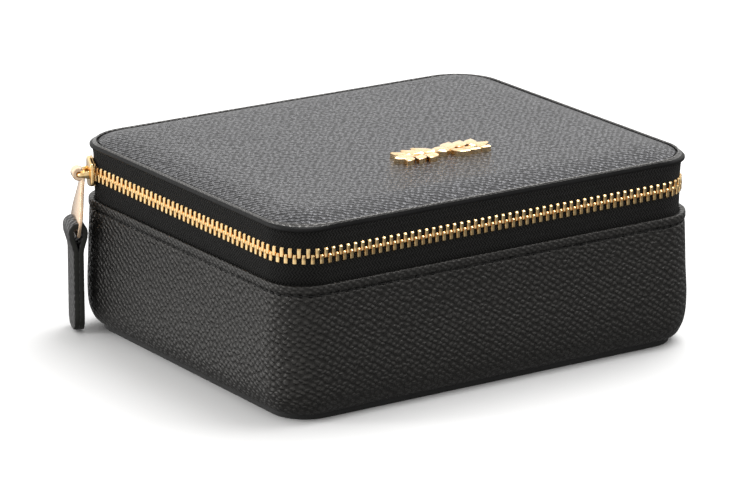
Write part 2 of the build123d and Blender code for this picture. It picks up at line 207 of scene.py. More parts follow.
def set_grain(mesh, values):
    """Per-corner grain coordinates in metres, for the leather and cloth patterns."""
    layer = mesh.uv_layers.new(name="grain")
    for loop in mesh.loops:
        layer.data[loop.index].uv = values[loop.vertex_index]


def as_mesh(work, name):
    """A mesh from a bmesh, with its faces turned outwards."""
    bmesh.ops.recalc_face_normals(work, faces=work.faces)
    mesh = bpy.data.meshes.new(name)
    work.to_mesh(mesh)
    work.free()
    return mesh


def loft(name, rings, whole=False, grain=None, ladder=False, domed=False):
    """Mesh through closed rings of points in millimetres: a loop if whole, else capped at both ends.

    A cap is one face, or quads between the ring's two halves if ladder. How a cap that isn't flat
    is cut into triangles depends on its corners' order, which domed turns at the last ring.
    """
    count = len(rings[0])
    turns = len(rings) if whole else len(rings) - 1
    faces = []
    for i in range(turns):
        a, b = i * count, (i + 1) % len(rings) * count
        for k in range(count):
            m = (k + 1) % count
            faces.append((a + k, b + k, b + m, a + m))
    if not whole:
        first, last = list(range(count)), [turns * count + k for k in range(count)]
        for ends in (first, last if domed else last[::-1]):
            if ladder:
                faces += [(ends[k], ends[k + 1], ends[-k - 2], ends[-k - 1]) for k in range(count // 2 - 1)]
            else:
                faces.append(ends)
    mesh = bpy.data.meshes.new(name)
    mesh.from_pydata([Vector(point) * MM for ring in rings for point in ring], [], faces)
    if grain:
        set_grain(mesh, grain)
    fix_normals(mesh)
    return mesh


def fix_normals(mesh, weld=0.0):
    """Turn the faces outwards, after joining corners that are closer than weld."""
    work = bmesh.new()
    work.from_mesh(mesh)
    if weld:
        bmesh.ops.remove_doubles(work, verts=work.verts, dist=weld)
    bmesh.ops.recalc_face_normals(work, faces=work.faces)
    work.to_mesh(mesh)
    work.free()


def ring_mesh(name, section, corner, start=0.0, end=8.0, wobble=0.0, steps=(28, 14)):
    """Carry a closed section, a list of (u, z) or (u, z, corner), round the outline."""
    whole = abs(end - start - 8.0) < 1e-6
    marks = stations(start, end, *steps)
    marks = marks[:-1] if whole else marks
    rows = [(*row, corner)[:3] for row in section]
    girth = [0.0]
    for a, b in zip(rows, rows[1:]):
        girth.append(girth[-1] + hypot(b[0] - a[0], b[1] - a[1]))
    rings, grain = [], []
    for mark in marks:
        along = run_length(mark, corner)
        grain += [(along * MM, across * MM) for across in girth]
        ring = []
        for u, z, radius in rows:
            spot, normal = outline(mark, u, radius)
            spot = spot + normal * noise.noise(Vector((spot.x, spot.y, z)) / WOBBLE_SIZE) * wobble
            ring.append((spot.x, spot.y, z))
        rings.append(ring)
    return loft(name, rings, whole, grain)


def side_of(path, i):
    """Unit vector square to a path at its point i."""
    before = Vector(path[max(i - 1, 0)])
    after = Vector(path[min(i + 1, len(path) - 1)])
    along = (after - before).normalized()
    return Vector((along.y, -along.x))


def smooth_line(points, per=5):
    """Catmull-Rom curve through (a, b) points."""
    ends = [points[0]] + list(points) + [points[-1]]
    line = []
    for i in range(1, len(ends) - 2):
        p0, p1, p2, p3 = (Vector(p[:2]) for p in ends[i - 1:i + 3])
        for step in range(per):
            t = step / per
            spot = 0.5 * ((2 * p1) + (p2 - p0) * t + (2 * p0 - 5 * p1 + 4 * p2 - p3) * t * t
                          + (3 * p1 - p0 - 3 * p2 + p3) * t ** 3)
            line.append((spot.x, spot.y))
    line.append(tuple(points[-1][:2]))
    return line


def join_meshes(name, parts):
    """One mesh from several (mesh, matrix) pairs; keeps material numbers and grain."""
    work = bmesh.new()
    for mesh, matrix in parts:
        before = len(work.verts)
        work.from_mesh(mesh)
        work.verts.ensure_lookup_table()
        for vert in work.verts[before:]:
            vert.co = matrix @ vert.co
    result = bpy.data.meshes.new(name)
    work.to_mesh(result)
    work.free()
    return result


# ---- materials

def shade(colour, factor):
    return tuple(min(part * factor, 1) for part in colour)


class Nodes:
    """Small helper for building the node tree of a material or a world."""

    def __init__(self, owner):
        owner.use_nodes = True
        self.nodes = owner.node_tree.nodes
        self.links = owner.node_tree.links

    def set(self, node, key, value):
        if isinstance(value, bpy.types.NodeSocket):
            self.links.new(value, node.inputs[key])
        else:
            node.inputs[key].default_value = value

    def node(self, kind, output=0, settings=None, **inputs):
        """Add a node and give one output; in0, in1 and so on are inputs by number."""
        made = self.nodes.new(kind)
        for key, value in (settings or {}).items():
            setattr(made, key, value)
        for key, value in inputs.items():
            name = int(key[2:]) if key.startswith("in") and key[2:].isdigit() else key.replace("_", " ")
            self.set(made, name, value)
        return made.outputs[output]

    def dot(self, vector, x, y, z=0.0):
        return self.node("ShaderNodeVectorMath", output="Value", settings={"operation": "DOT_PRODUCT"},
                         in0=vector, in1=(x, y, z))

    def math(self, operation, a, b=0.0):
        return self.node("ShaderNodeMath", settings={"operation": operation}, in0=a, in1=b)

    def noise(self, vector, scale, detail=2.0, roughness=0.5):
        return self.node("ShaderNodeTexNoise", Vector=vector, Scale=scale, Detail=detail,
                         Roughness=roughness)

    def ramp(self, value, low, high, out_low=0.0, out_high=1.0):
        return self.node("ShaderNodeMapRange", settings={"interpolation_type": "SMOOTHSTEP"}, Value=value,
                         From_Min=low, From_Max=high, To_Min=out_low, To_Max=out_high)

    def mix(self, factor, low, high):
        """Colour mix of two colours or sockets."""
        made = self.nodes.new("ShaderNodeMix")
        made.data_type = "RGBA"
        self.set(made, 0, factor)
        for key, value in ((6, low), (7, high)):
            self.set(made, key, value if isinstance(value, bpy.types.NodeSocket) else (*value, 1))
        return made.outputs[2]


class Tree(Nodes):
    """A material with one Principled shader."""

    def __init__(self, name, base, roughness, **more):
        self.material = bpy.data.materials.new(name)
        super().__init__(self.material)
        self.finish(Base_Color=(*base, 1), Roughness=roughness, **more)

    def finish(self, **inputs):
        """Set the shader's inputs, and give the material."""
        for key, value in inputs.items():
            self.set(self.nodes["Principled BSDF"], key.replace("_", " "), value)
        return self.material

    def grain(self):
        """Grain coordinates in millimetres."""
        return self.millimetres(self.node("ShaderNodeUVMap", settings={"uv_map": "grain"}))

    def place(self):
        """Object coordinates in millimetres."""
        return self.millimetres(self.node("ShaderNodeTexCoord", output="Object"))

    def millimetres(self, spot):
        return self.node("ShaderNodeVectorMath", settings={"operation": "SCALE"}, in0=spot, Scale=1 / MM)

    def bump(self, height, depth):
        """Raise the surface by depth millimetres where height is 1."""
        return self.node("ShaderNodeBump", Strength=1.0, Distance=depth * MM, Height=height)


GRAIN_A = (0.33, 0.50)
GRAIN_B = (0.43, -0.38)
RIB_PITCH = 1.1
THREAD_PITCH = 0.3


def crossgrain(tree, spot, scale, scatter):
    """Height of an embossed crossgrain: a slanted lattice of small raised cells."""
    first, second = ([part * scale for part in wave] for wave in (GRAIN_A, GRAIN_B))
    warp = tree.noise(spot, 0.35)
    a = tree.math("ADD", tree.dot(spot, *first), tree.math("MULTIPLY", warp, 1.1))
    b = tree.math("SUBTRACT", tree.dot(spot, *second), tree.math("MULTIPLY", warp, 0.9))
    cells = tree.node("ShaderNodeTexVoronoi", output="Distance",
                      settings={"feature": "F1", "voronoi_dimensions": "2D"},
                      Vector=tree.node("ShaderNodeCombineXYZ", X=a, Y=b), Scale=1.0, Randomness=scatter)
    ridge = tree.math("SINE", tree.math("MULTIPLY", a, 2 * pi))
    return tree.math("ADD", tree.ramp(cells, 0.1, 0.6, 0.75, 0.1), tree.math("MULTIPLY", ridge, 0.17))


def leather(name, base, roughness, depth, scale=1.0, scatter=0.35, contrast=0.4, level=0.5,
            shine=(0.7, 1.2), tint=(1.0, 0.97, 0.93)):
    """Embossed leather: pale, glossy cells between dark, matt creases; the dark creases are painted shade and
    the pale cell tops a painted highlight.
    """
    tree = Tree(name, base, roughness, Specular_Tint=(*tint, 1))
    spot = tree.grain()
    cells = crossgrain(tree, spot, scale, scatter)
    fine = tree.noise(spot, 3.2, 3.0, 0.6)
    broad = tree.noise(tree.place(), 0.045)
    # Painted shade in the creases and painted highlight on the cell tops: cells mixes the colour from dark to
    # pale, and contrast sets how strong.
    dark = shade(base, 1 - 0.55 * contrast)
    colour = tree.mix(cells, dark, shade(base, 1 + 0.9 * contrast))
    rough = tree.math("SUBTRACT", roughness + 0.16, tree.math("MULTIPLY", cells, 0.18))
    height = tree.math("ADD", cells, tree.math("MULTIPLY", fine, 0.35))
    return tree.finish(Base_Color=tree.mix(tree.ramp(broad, 0.3, 0.7, 0.0, 0.35), colour, dark),
                       Roughness=tree.math("ADD", rough, tree.math("MULTIPLY", broad, 0.06)),
                       Specular_IOR_Level=tree.ramp(cells, 0.05, 0.75, level * shine[0], level * shine[1]),
                       Normal=tree.bump(height, depth))


def smooth_leather(name, base, roughness, level=0.35):
    """Leather, thread or edge paint with only a fine grain."""
    tree = Tree(name, base, roughness, Specular_IOR_Level=level)
    spot = tree.place()
    fine = tree.noise(spot, 1.4, 4.0, 0.6)
    broad = tree.noise(spot, 0.08)
    return tree.finish(Base_Color=tree.mix(tree.ramp(broad, 0.3, 0.7), base, shade(base, 0.6)),
                       Roughness=tree.ramp(fine, 0.3, 0.7, roughness - 0.05, roughness + 0.1),
                       Normal=tree.bump(fine, 0.035))


def woven_tape(name, base):
    """Herringbone: short slanted ribs whose slant flips from one band to the next, with a painted highlight
    on the rib tops.
    """
    tree = Tree(name, base, 0.85, Specular_IOR_Level=0.15, Sheen_Weight=0.03, Sheen_Roughness=0.4)
    spot = tree.grain()
    along = tree.dot(spot, 1, 0)
    slant = tree.math("ADD", along, tree.math("PINGPONG", tree.dot(spot, 0, 1), RIB_PITCH))
    rib = tree.math("SINE", tree.math("MULTIPLY", slant, 2 * pi / RIB_PITCH))
    thread = tree.math("SINE", tree.math("MULTIPLY", along, 2 * pi / THREAD_PITCH))
    height = tree.ramp(rib, -0.8, 0.9)
    # Painted highlight: the rib tops are painted paler, in random patches, as if they caught the light.
    painted_rib_highlight = tree.math("MULTIPLY", height, tree.noise(spot, 5.0))
    height = tree.math("ADD", height, tree.math("MULTIPLY", thread, 0.12))
    return tree.finish(Base_Color=tree.mix(painted_rib_highlight, base, shade(base, 6.0)), Normal=tree.bump(height, 0.2))


def metal(name, base, deep, roughness):
    """Polished plated metal with faint tarnish in patches and fine handling marks."""
    tree = Tree(name, base, roughness, Metallic=1.0)
    spot = tree.place()
    cloud = tree.noise(spot, 0.9, 3.0)
    stretched = tree.node("ShaderNodeVectorMath", settings={"operation": "MULTIPLY"}, in0=spot,
                          in1=(9.0, 9.0, 1.2))
    scuff = tree.noise(stretched, 0.6, 3.0, 0.7)
    return tree.finish(Base_Color=tree.mix(tree.ramp(cloud, 0.35, 0.75, 0.0, 0.55), base, deep),
                       Roughness=tree.ramp(scuff, 0.3, 0.75, roughness, roughness + 0.14),
                       Normal=tree.bump(scuff, 0.006))


def suede(name, base):
    """Microsuede, brushed a little darker here and there."""
    tree = Tree(name, base, 0.9, Sheen_Weight=0.6, Sheen_Roughness=0.35, Specular_IOR_Level=0.2)
    spot = tree.place()
    nap = tree.noise(spot, 3.5, 4.0, 0.7)
    dark = shade(base, 0.86)
    colour = tree.mix(tree.ramp(tree.noise(spot, 0.05), 0.2, 0.8), dark, shade(base, 1.06))
    return tree.finish(Base_Color=tree.mix(tree.ramp(nap, 0.2, 0.8, 0.0, 0.5), colour, dark),
                       Normal=tree.bump(nap, 0.08))


def inner_stuff(name, base, scale):
    """Board or foam: speckled and matt."""
    tree = Tree(name, base, 0.9, Specular_IOR_Level=0.2)
    speck = tree.noise(tree.place(), scale, 3.0, 0.7)
    return tree.finish(Base_Color=tree.mix(speck, shade(base, 0.8), base), Normal=tree.bump(speck, 0.05))


BLACK = (0.008, 0.0077, 0.0073)
# Each leather's contrast sets its painted crease shade and painted cell-top highlight; the lid's is the
# strongest.
CASE_LEATHER = leather("case_leather", BLACK, 0.23, 0.36, scale=1.0, scatter=0.55, contrast=0.15)
LID_LEATHER = leather("lid_leather", (0.012, 0.012, 0.013), 0.22, 0.36, scale=1.1, scatter=0.55,
                      contrast=0.9, level=0.82, shine=(0.3, 1.45), tint=(0.95, 0.95, 1.0))
TRIM_LEATHER = leather("trim_leather", (0.009, 0.0087, 0.0083), 0.28, 0.18, scale=1.3, scatter=0.5)
# The piping's base is paler than the other leathers: partly its own grained leather, partly a painted
# highlight along the bead's top.
PIPING_LEATHER = leather("piping_leather", (0.035, 0.035, 0.036), 0.22, 0.12, scale=1.5, level=1.1)
WELT_LEATHER = smooth_leather("welt_leather", (0.005, 0.005, 0.005), 0.45, 0.2)
BASE_LEATHER = smooth_leather("base_leather", (0.008, 0.008, 0.008), 0.55)
TAB_LEATHER = leather("tab_leather", (0.011, 0.011, 0.012), 0.28, 0.25)
EDGE_PAINT = smooth_leather("edge_paint", (0.014, 0.015, 0.011), 0.42)
THREAD = smooth_leather("thread", (0.007, 0.007, 0.007), 0.6)
ZIP_TAPE = woven_tape("zip_tape", (0.0034, 0.0033, 0.0031))
GOLD = metal("gold", (1.0, 0.74, 0.38), (0.80, 0.42, 0.12), 0.11)
ROSE_GOLD = metal("rose_gold", (1.0, 0.76, 0.54), (0.88, 0.52, 0.28), 0.13)
EMBLEM_GOLD = metal("emblem_gold", (1.0, 0.76, 0.46), (0.85, 0.48, 0.18), 0.10)
SUEDE = suede("suede", (0.40, 0.33, 0.27))
BOARD = inner_stuff("board", (0.30, 0.27, 0.23), 1.2)
FOAM = inner_stuff("foam", (0.60, 0.58, 0.52), 2.5)


# ---- case body

def make_wall():
    """Padded wall, fullest low down, with a stitch groove below the binding."""
    outer = [(-1.75, BASE_TOP + 0.15), (-0.8, 3.1), (0.2, 5.0), (0.95, 7.2), (1.35, 10.0), (1.5, 14.0),
             (1.45, 18.5), (1.15, 24.0), (0.85, 30.0), (0.6, 35.0), (0.5, WALL_TOP - 1.3)]
    groove = WALL_TOP - 0.75
    line = smooth_line(outer, 3)
    line += [(0.36, groove - 0.3), (0.1, groove - 0.12), (0.06, groove + 0.05), (0.2, groove + 0.3),
             (0.3, WALL_TOP - 0.2), (0.25, WALL_TOP + 0.1)]
    inner = [(-0.5, WALL_TOP + 0.1, ZIP_CORNER), (-0.5, FOAM_TOP), (-0.25, 29.0), (0.2, 18.0), (0.1, 10.0),
             (-0.9, 6.0), (-1.4, 4.0), (-3.0, BASE_TOP + 0.05), (-2.3, BASE_TOP)]
    mesh = ring_mesh("wall_leather_skin", line + inner, CORNER, wobble=0.22, steps=FINE_STEPS)
    add_piece(mesh, CASE_LEATHER, "case", "wall_leather", 60)


def make_binding():
    """Folded strip along the wall's top edge."""
    low, high = WALL_TOP, BINDING_TOP
    line = [(0.3, low - 0.12), (0.5, low - 0.12), (0.64, low + 0.08), (0.7, low + 0.4), (0.7, low + 1.1),
            (0.68, low + 1.7), (0.6, high - 0.22), (0.42, high - 0.04), (0.1, high)]
    inner = [(-0.35, high - 0.05, ZIP_CORNER - 0.5), (-0.56, high - 0.3, ZIP_CORNER),
             (-0.56, low, ZIP_CORNER), (-0.3, low - 0.1, CORNER)]
    mesh = ring_mesh("top_binding", line + inner, CORNER, wobble=0.1, steps=FINE_STEPS)
    add_piece(mesh, TRIM_LEATHER, "case", "top_edge_binding", 60)


def capsule(length, radius):
    """One stitch lying along y, thickest in the middle."""
    flat = 0.7
    rings = []
    for share, girth in ((-1, 0.25), (-0.85, 0.75), (-0.4, 1), (0.4, 1), (0.85, 0.75), (1, 0.25)):
        reach = radius * girth
        rings.append([(cos(a) * reach * flat, share * length / 2, sin(a) * reach) for a in circle(8)])
    return loft("stitch", rings)


def make_stitches():
    """A row of stitches round the wall, in the groove below the binding."""
    u, z, pitch, slant = 0.2, WALL_TOP - 0.72, 2.6, 4
    shape = capsule(1.9, 0.2)
    total = run_length(8.0, CORNER)
    count = int(total / pitch)
    chooser = random.Random("wall_stitches")
    parts = []
    for index in range(count):
        position = position_at((index + 0.5) * total / count, CORNER)
        skew = Matrix.Rotation(radians(chooser.uniform(-slant, slant)), 4, "X")
        parts.append((shape, place_at(position, u, CORNER, z) @ skew))
    add_piece(join_meshes("wall_stitches", parts), THREAD, "case", None)


# ---- zip

def zip_place(run):
    """Matrix at a distance along the zip from the parked slider: x outwards, y towards the front end."""
    length = run - ZIP_RADIUS * radians(SLIDER_ANGLE)
    if length < 0:
        position = 4 + length / (ZIP_RADIUS * pi / 2)
    else:
        position = position_at(length, ZIP_CORNER, TAPE_CENTRE, 4)
    return place_at(position, TAPE_CENTRE, ZIP_CORNER, ZIP_HEIGHT)


def zip_length():
    """Length of the toothed run, from the parked slider to just short of the zip's far end."""
    return ZIP_STRAIGHTS + ZIP_RADIUS * radians(180 + SLIDER_ANGLE + ZIP_END_ANGLE - ZIP_END_GAP)


def row_spread(run):
    part = min(max((SPREAD_START - run) / (SPREAD_START - SPREAD_END), 0), 1)
    return ROW_SPREAD * part * part * (3 - 2 * part)


def make_tape(upper):
    """Woven half of the zip, with a thicker corded edge under the teeth."""
    edge, margin = 0.75, 2.4
    if upper:
        low, high = ZIP_HEIGHT + edge, WELT_BOTTOM + 0.5
        bow = [(0.95, high), (0.9, high - 1.0), (0.7, high - 2.4), (0.52, low + margin), (0.38, low + 0.8),
               (0.6, low + 0.35), (0.45, low), (-0.45, low), (-0.6, low + 0.35), (-0.36, low + 0.8),
               (-0.36, high - 1.5), (0.1, high)]
    else:
        low, high = BINDING_TOP - 4.0, ZIP_HEIGHT - edge
        bow = [(0.36, low), (0.36, BINDING_TOP), (0.52, high - margin), (0.38, high - 0.8),
               (0.6, high - 0.35), (0.45, high), (-0.45, high), (-0.6, high - 0.35), (-0.36, high - 0.8),
               (-0.36, low)]
    row, body = ("upper", "lid") if upper else ("lower", "case")
    section = [(TAPE_CENTRE + x, z) for x, z in bow]
    mesh = ring_mesh(f"tape_{row}_cloth", section, ZIP_CORNER, ZIP_START, ZIP_FINISH, steps=(40, 20))
    obj = add_piece(mesh, ZIP_TAPE, body, f"zip_tape_{row}", 50)


def tooth_mesh():
    """One stamped tooth: two legs over the tape, joined by a head that narrows to the tip."""
    reach, slot, half = 2.45, 0.42, 0.6
    right = [(1.1, -reach + 0.4), (1.12, -1.1), (1.12, -0.45), (1.2, -0.15), (1.2, 0.22), (0.82, 0.6)]
    legs = [(-slot, -reach), (-slot, -0.9), (slot, -0.9), (slot, -reach)]
    section = [(0.7, -reach)] + right + [(-x, z) for x, z in right[::-1]] + [(-0.7, -reach)] + legs
    slices = [(-1, 0.80), (-0.9, 0.9), (-0.55, 0.98), (0, 1.0), (0.55, 0.98), (0.9, 0.9), (1, 0.80)]
    rings = []
    for place, shrink in slices:
        ring = []
        for x, z in section:
            taper = 1.0 - 0.2 * min(max(z + 1.0, 0), 1)
            foot = min(shrink + 0.1, 1.0) if z < -1 else 1
            ring.append((x * shrink if abs(x) > slot else x, place * half * taper, z * foot))
        rings.append(ring)
    return loft("tooth", rings)


def make_teeth(upper):
    shape = tooth_mesh()
    flip = Matrix.Rotation(pi, 4, "X") if upper else Matrix.Identity(4)
    first = SPREAD_END + TOOTH_PITCH / 2
    count = int((zip_length() - first) / TOOTH_PITCH)
    row = "upper" if upper else "lower"
    chooser = random.Random(f"teeth_{row}_row")
    parts = []
    for index in range(count):
        run = first + TOOTH_PITCH * (index + (0.5 if upper else 0))
        shift = row_spread(run) * MM * (1 if upper else -1)
        lean = Matrix.Rotation(radians(chooser.uniform(-TOOTH_LEAN, TOOTH_LEAN)), 4, "X")
        parts.append((shape, zip_place(run) @ Matrix.Translation((0, 0, shift)) @ lean @ flip))
    add_piece(join_meshes(f"teeth_{row}_row", parts), GOLD, "lid" if upper else "case", f"zip_teeth_{row}",
              35)


# ---- slider and pull

def plate_mesh(name, border, low, high, bevel, crown=0.0):
    """Slab in the y-z plane between two x values, with rounded edges and a slightly full face."""
    work = bmesh.new()
    back = [work.verts.new((low * MM, y * MM, z * MM)) for y, z in border]
    front = [work.verts.new((high * MM, y * MM, z * MM)) for y, z in border]
    work.faces.new(back[::-1])
    work.faces.new(front)
    for i in range(-1, len(back) - 1):
        work.faces.new((back[i], back[i + 1], front[i + 1], front[i]))
    bmesh.ops.recalc_face_normals(work, faces=work.faces)
    rim = [e for e in work.edges if abs(e.verts[0].co.x - e.verts[1].co.x) < 1e-9]
    bmesh.ops.bevel(work, geom=rim, offset=bevel * MM, segments=3, profile=0.5, affect="EDGES")
    if crown:
        top = [f for f in work.faces if f.normal.x > 0.99 and len(f.verts) > 6]
        bmesh.ops.inset_region(work, faces=top, thickness=0.8 * MM)
        for vert in {v for f in top for v in f.verts}:
            vert.co.x += crown * MM
    return as_mesh(work, name)


def rounded(points, radius, steps=4):
    """Replace each corner of a closed outline by a small curve."""
    line = []
    count = len(points)
    for i in range(count):
        before, here, after = (Vector(points[(i + k) % count]) for k in (-1, 0, 1))
        reach_in = min(radius, (before - here).length / 2.2)
        reach_out = min(radius, (after - here).length / 2.2)
        a = here + (before - here).normalized() * reach_in
        c = here + (after - here).normalized() * reach_out
        for step in range(steps + 1):
            t = step / steps
            spot = a * (1 - t) ** 2 + here * 2 * t * (1 - t) + c * t * t
            line.append((spot.x, spot.y))
    return line


def tube_mesh(name, path, sections, steps=16):
    """Loft elliptical rings along a path in the x-y plane; sections are (thick, wide) in mm."""
    rings = []
    for i, ((x, y), (thick, wide)) in enumerate(zip(path, sections)):
        side = side_of(path, i) * thick
        rings.append([(x + side.x * cos(a), y + side.y * cos(a), sin(a) * wide) for a in circle(steps)])
    return loft(name, rings)


def make_slider():
    """Two plates with turned lips, the diamond between them, and the bridge over the outer one."""
    top = [(-4.2, 3.3), (-2.8, 4.7), (0.4, 4.4), (3.4, 3.6), (4.2, 2.9)]
    plate = rounded(top + [(y, -z) for y, z in top[::-1]], 0.9)
    shapes = [plate_mesh("outer", plate, 1.25, 2.45, 0.32, 0.12),
              plate_mesh("inner", plate, -3.0, -2.0, 0.25)]
    side = [(-3.2, 4.4), (-2.7, 4.65), (0.4, 4.35), (3.3, 3.55), (3.3, 3.2), (0.4, 3.9), (-3.2, 4.1)]
    for sign in (-1, 1):
        for low, high in ((0.8, 1.35), (-2.05, -1.55)):
            shapes.append(plate_mesh("lip", [(y, sign * z) for y, z in side], low, high, 0.08))
    wedge = [(-2.3, 0.0), (-3.2, 0.42), (-4.1, 0.72), (-4.1, -0.72), (-3.2, -0.42)]
    shapes.append(plate_mesh("diamond", wedge, -2.0, 1.3, 0.1))
    matrix = zip_place(0)
    casting = join_meshes("slider_casting", [(shape, matrix) for shape in shapes])
    add_piece(casting, GOLD, "slider", "slider_body", 40)
    crown = tube_mesh("slider_crown", *bridge_path())
    crown.transform(matrix)
    add_piece(crown, GOLD, "slider", "slider_bridge")


def bridge_path():
    """Rounded arch over the slider: x outwards, y along it; broad at its feet, round on top."""
    foot, top, half, bend = 2.35, 5.75, 3.05, 0.9
    path = [(foot, -half), (foot + 0.8, -half), (top - bend - 0.6, -half)]
    for step in range(7):
        angle = step / 6 * pi / 2
        path.append((top - bend + bend * sin(angle), -half + bend - bend * cos(angle)))
    path += [(x, -y) for x, y in path[::-1]]
    sections = []
    for x, y in path:
        share = min(max((x - foot) / (top - foot), 0), 1)
        sections.append((0.58 + 0.14 * share, 1.35 - 0.63 * share))
    return path, sections


def make_pull():
    """Flared plate with a rolled eye and a slot above the crossbar."""
    lean = pull_matrix() @ Matrix.Rotation(radians(-PULL_LEAN), 4, "Y")
    flare = smooth_line([(1.95, -0.9), (2.1, -2.6), (3.2, -5.4), (5.4, -9.6), (6.7, -12.6), (6.9, -14.6)], 5)
    flare += [(6.9, -18.0), (6.5, -18.6)]
    plate = slotted_plate(flare + [(-y, z) for y, z in flare[::-1]])
    mesh = join_meshes("pull_metal_plate", [(eye_mesh(2.02, 0.86, 2.1), lean), (plate, lean)])
    add_piece(mesh, ROSE_GOLD, "pull", "pull_plate", 40)


def pull_matrix():
    return zip_place(0) @ Matrix.Translation((ROD_OFFSET * MM, 0, 0))


ROD_OFFSET = 5.75
PULL_LEAN = 8.5


def eye_mesh(outer, inner, half):
    """Rolled eye: a short tube along y with rounded rims."""
    rims = [(outer - 0.2, -half), (outer, -half + 0.2), (outer, half - 0.2), (outer - 0.2, half),
            (inner + 0.15, half), (inner, half - 0.15), (inner, -half + 0.15), (inner + 0.15, -half)]
    return loft("eye", [[(r * cos(a), y, r * sin(a)) for r, y in rims] for a in circle(36)], whole=True)


def slotted_plate(outer):
    """The pull's flat plate with its slot and rounded edges."""
    low, high, bevel = -2.05, -1.0, 0.16
    slot = rounded([(-5.85, -14.6), (5.85, -14.6), (5.85, -17.1), (-5.85, -17.1)], 0.5, 3)
    curve = bpy.data.curves.new("plate", "CURVE")
    curve.dimensions = "2D"
    curve.fill_mode = "BOTH"
    for points in (outer, slot):
        spline = curve.splines.new("POLY")
        spline.points.add(len(points) - 1)
        for spot, (y, z) in zip(spline.points, points):
            spot.co = (y * MM, z * MM, 0, 1)
        spline.use_cyclic_u = True
    curve.extrude = ((high - low) / 2 - bevel) * MM
    curve.bevel_depth = bevel * MM
    curve.bevel_resolution = 2
    holder = bpy.data.objects.new("plate", curve)
    mesh = bpy.data.meshes.new_from_object(holder)
    bpy.data.objects.remove(holder)
    mesh.transform(Matrix(((0, 0, 1, (low + high) / 2 * MM), (1, 0, 0, 0), (0, 1, 0, 0), (0, 0, 0, 1))))
    fix_normals(mesh, weld=1e-6)
    return mesh


def crossbar():
    """The crossbar's middle in the hanging frame, as (outward, up) from the rod, in mm."""
    pivot = Vector(joint("tab_flex")["pos_m"])
    local = pull_matrix().inverted() @ pivot
    return local.x / MM, local.z / MM


def make_tab():
    """Leather strip folded round the crossbar; the two plies lie together below the fold."""
    out, up = crossbar()
    floor_gap, ply, loop, neck, count = 0.7, 1.74, 2.15, -6.6, 12
    bottom = floor_gap - (ZIP_HEIGHT + up)
    half = ply / 2 - 0.12
    right = [(half, bottom), (half, bottom + 0.5)]
    right += [(half, bottom + 0.5 + (neck - bottom - 0.5) * i / count) for i in range(1, count + 1)]
    right += [(half + 0.18, neck + 1.6), (1.45, neck + 3.4), (2.0, neck + 5.2), (loop, 0.0)]
    arc = [(loop * cos(step / 12 * pi), 0.35 + loop * sin(step / 12 * pi)) for step in range(1, 12)]
    mesh = strip_mesh("tab_strip", right + arc + [(-x, z) for x, z in right[::-1]], ply, bottom)
    mesh.transform(pull_matrix() @ Matrix.Translation((out * MM, 0, up * MM)))
    add_piece(mesh, TAB_LEATHER, "tab", "pull_leather", 50)
    mesh.materials.append(EDGE_PAINT)


def strip_mesh(name, path, ply, bottom):
    """Ribbon of leather along a path in the x-z plane; its cut edges take the second material."""
    width, round_end = 11.3, 3.6
    section = [(ply / 2 * sign, share * sign) for sign in (1, -1) for share in (-1, -0.5, 0, 0.5, 1)]
    work = bmesh.new()
    grain = work.loops.layers.uv.new("grain")
    rings, lengths = [], [0.0]
    for i, (x, z) in enumerate(path):
        side = side_of(path, i)
        lift = max(round_end - (z - bottom), 0) / round_end
        narrow = width / 2 - round_end * (1 - sqrt(max(1 - lift * lift, 0)))
        rings.append([work.verts.new(Vector((x + side.x * off, share * narrow, z + side.y * off)) * MM)
                      for off, share in section])
        if i:
            lengths.append(lengths[-1] + (Vector(path[i]) - Vector(path[i - 1])).length)
    count = len(section)
    for i in range(len(rings) - 1):
        for k in range(count):
            m = (k + 1) % count
            face = work.faces.new((rings[i][k], rings[i][m], rings[i + 1][m], rings[i + 1][k]))
            face.material_index = 1 if k in (4, 9) else 0
            for loop, (row, column) in zip(face.loops, ((i, k), (i, m), (i + 1, m), (i + 1, k))):
                loop[grain].uv = (section[column][1] * width / 2 * MM, lengths[row] * MM)
    for ring in (rings[0][::-1], rings[-1]):
        work.faces.new(ring).material_index = 1
    bmesh.ops.recalc_face_normals(work, faces=work.faces)
    creases = [e for e in work.edges if len({f.material_index for f in e.link_faces}) == 2]
    bmesh.ops.bevel(work, geom=creases, offset=0.28 * MM, segments=3, profile=0.5, affect="EDGES")
    return as_mesh(work, name)


# ---- lid

LID_EDGE = -1.4
RIDGE_CORNER = 15.5
CROWN_WIDTH = 12.6


def crown_height(depth, share):
    """Height of the lid's skin: depth is the distance in from its edge, share 1 at the level part."""
    rise = 2.4
    edge = WELT_TOP - 0.15
    if depth < CROWN_WIDTH:
        return edge + rise * (1 - (1 - depth / CROWN_WIDTH) ** 2)
    return edge + rise + (LID_TOP + 0.3 - edge - rise) * (1 - share * share)


def make_lid_skin():
    """Domed panel: rings near the edge, then rings that shrink to the middle."""
    marks = stations(0, 8, 30, 12)[:-1]
    steps = 14

    def ring(depth):
        return [outline(m, LID_EDGE - depth, RIDGE_CORNER)[0] for m in marks]

    rows = [(ring(0.05), WELT_TOP - 1.0), (ring(0), WELT_TOP - 0.5)]
    for step in range(steps + 1):
        depth = CROWN_WIDTH * (step / steps) ** 1.5
        rows.append((ring(0.12 + depth), crown_height(depth, 1)))
    inner = rows[-1][0]
    for step in range(1, steps):
        share = 1 - step / steps
        rows.append(([spot * share for spot in inner], crown_height(CROWN_WIDTH, share)))
    rings = []
    for spots, height in rows:
        rings.append([(s.x, s.y, height + noise.noise(Vector((s.x, s.y, 3.0)) / 22.0) * 0.06) for s in spots])
    grain = [(x * MM, y * MM) for points in rings for x, y, _ in points]
    mesh = loft("lid_skin", rings, grain=grain, domed=True)
    add_piece(mesh, LID_LEATHER, "lid", "lid_leather", 50)


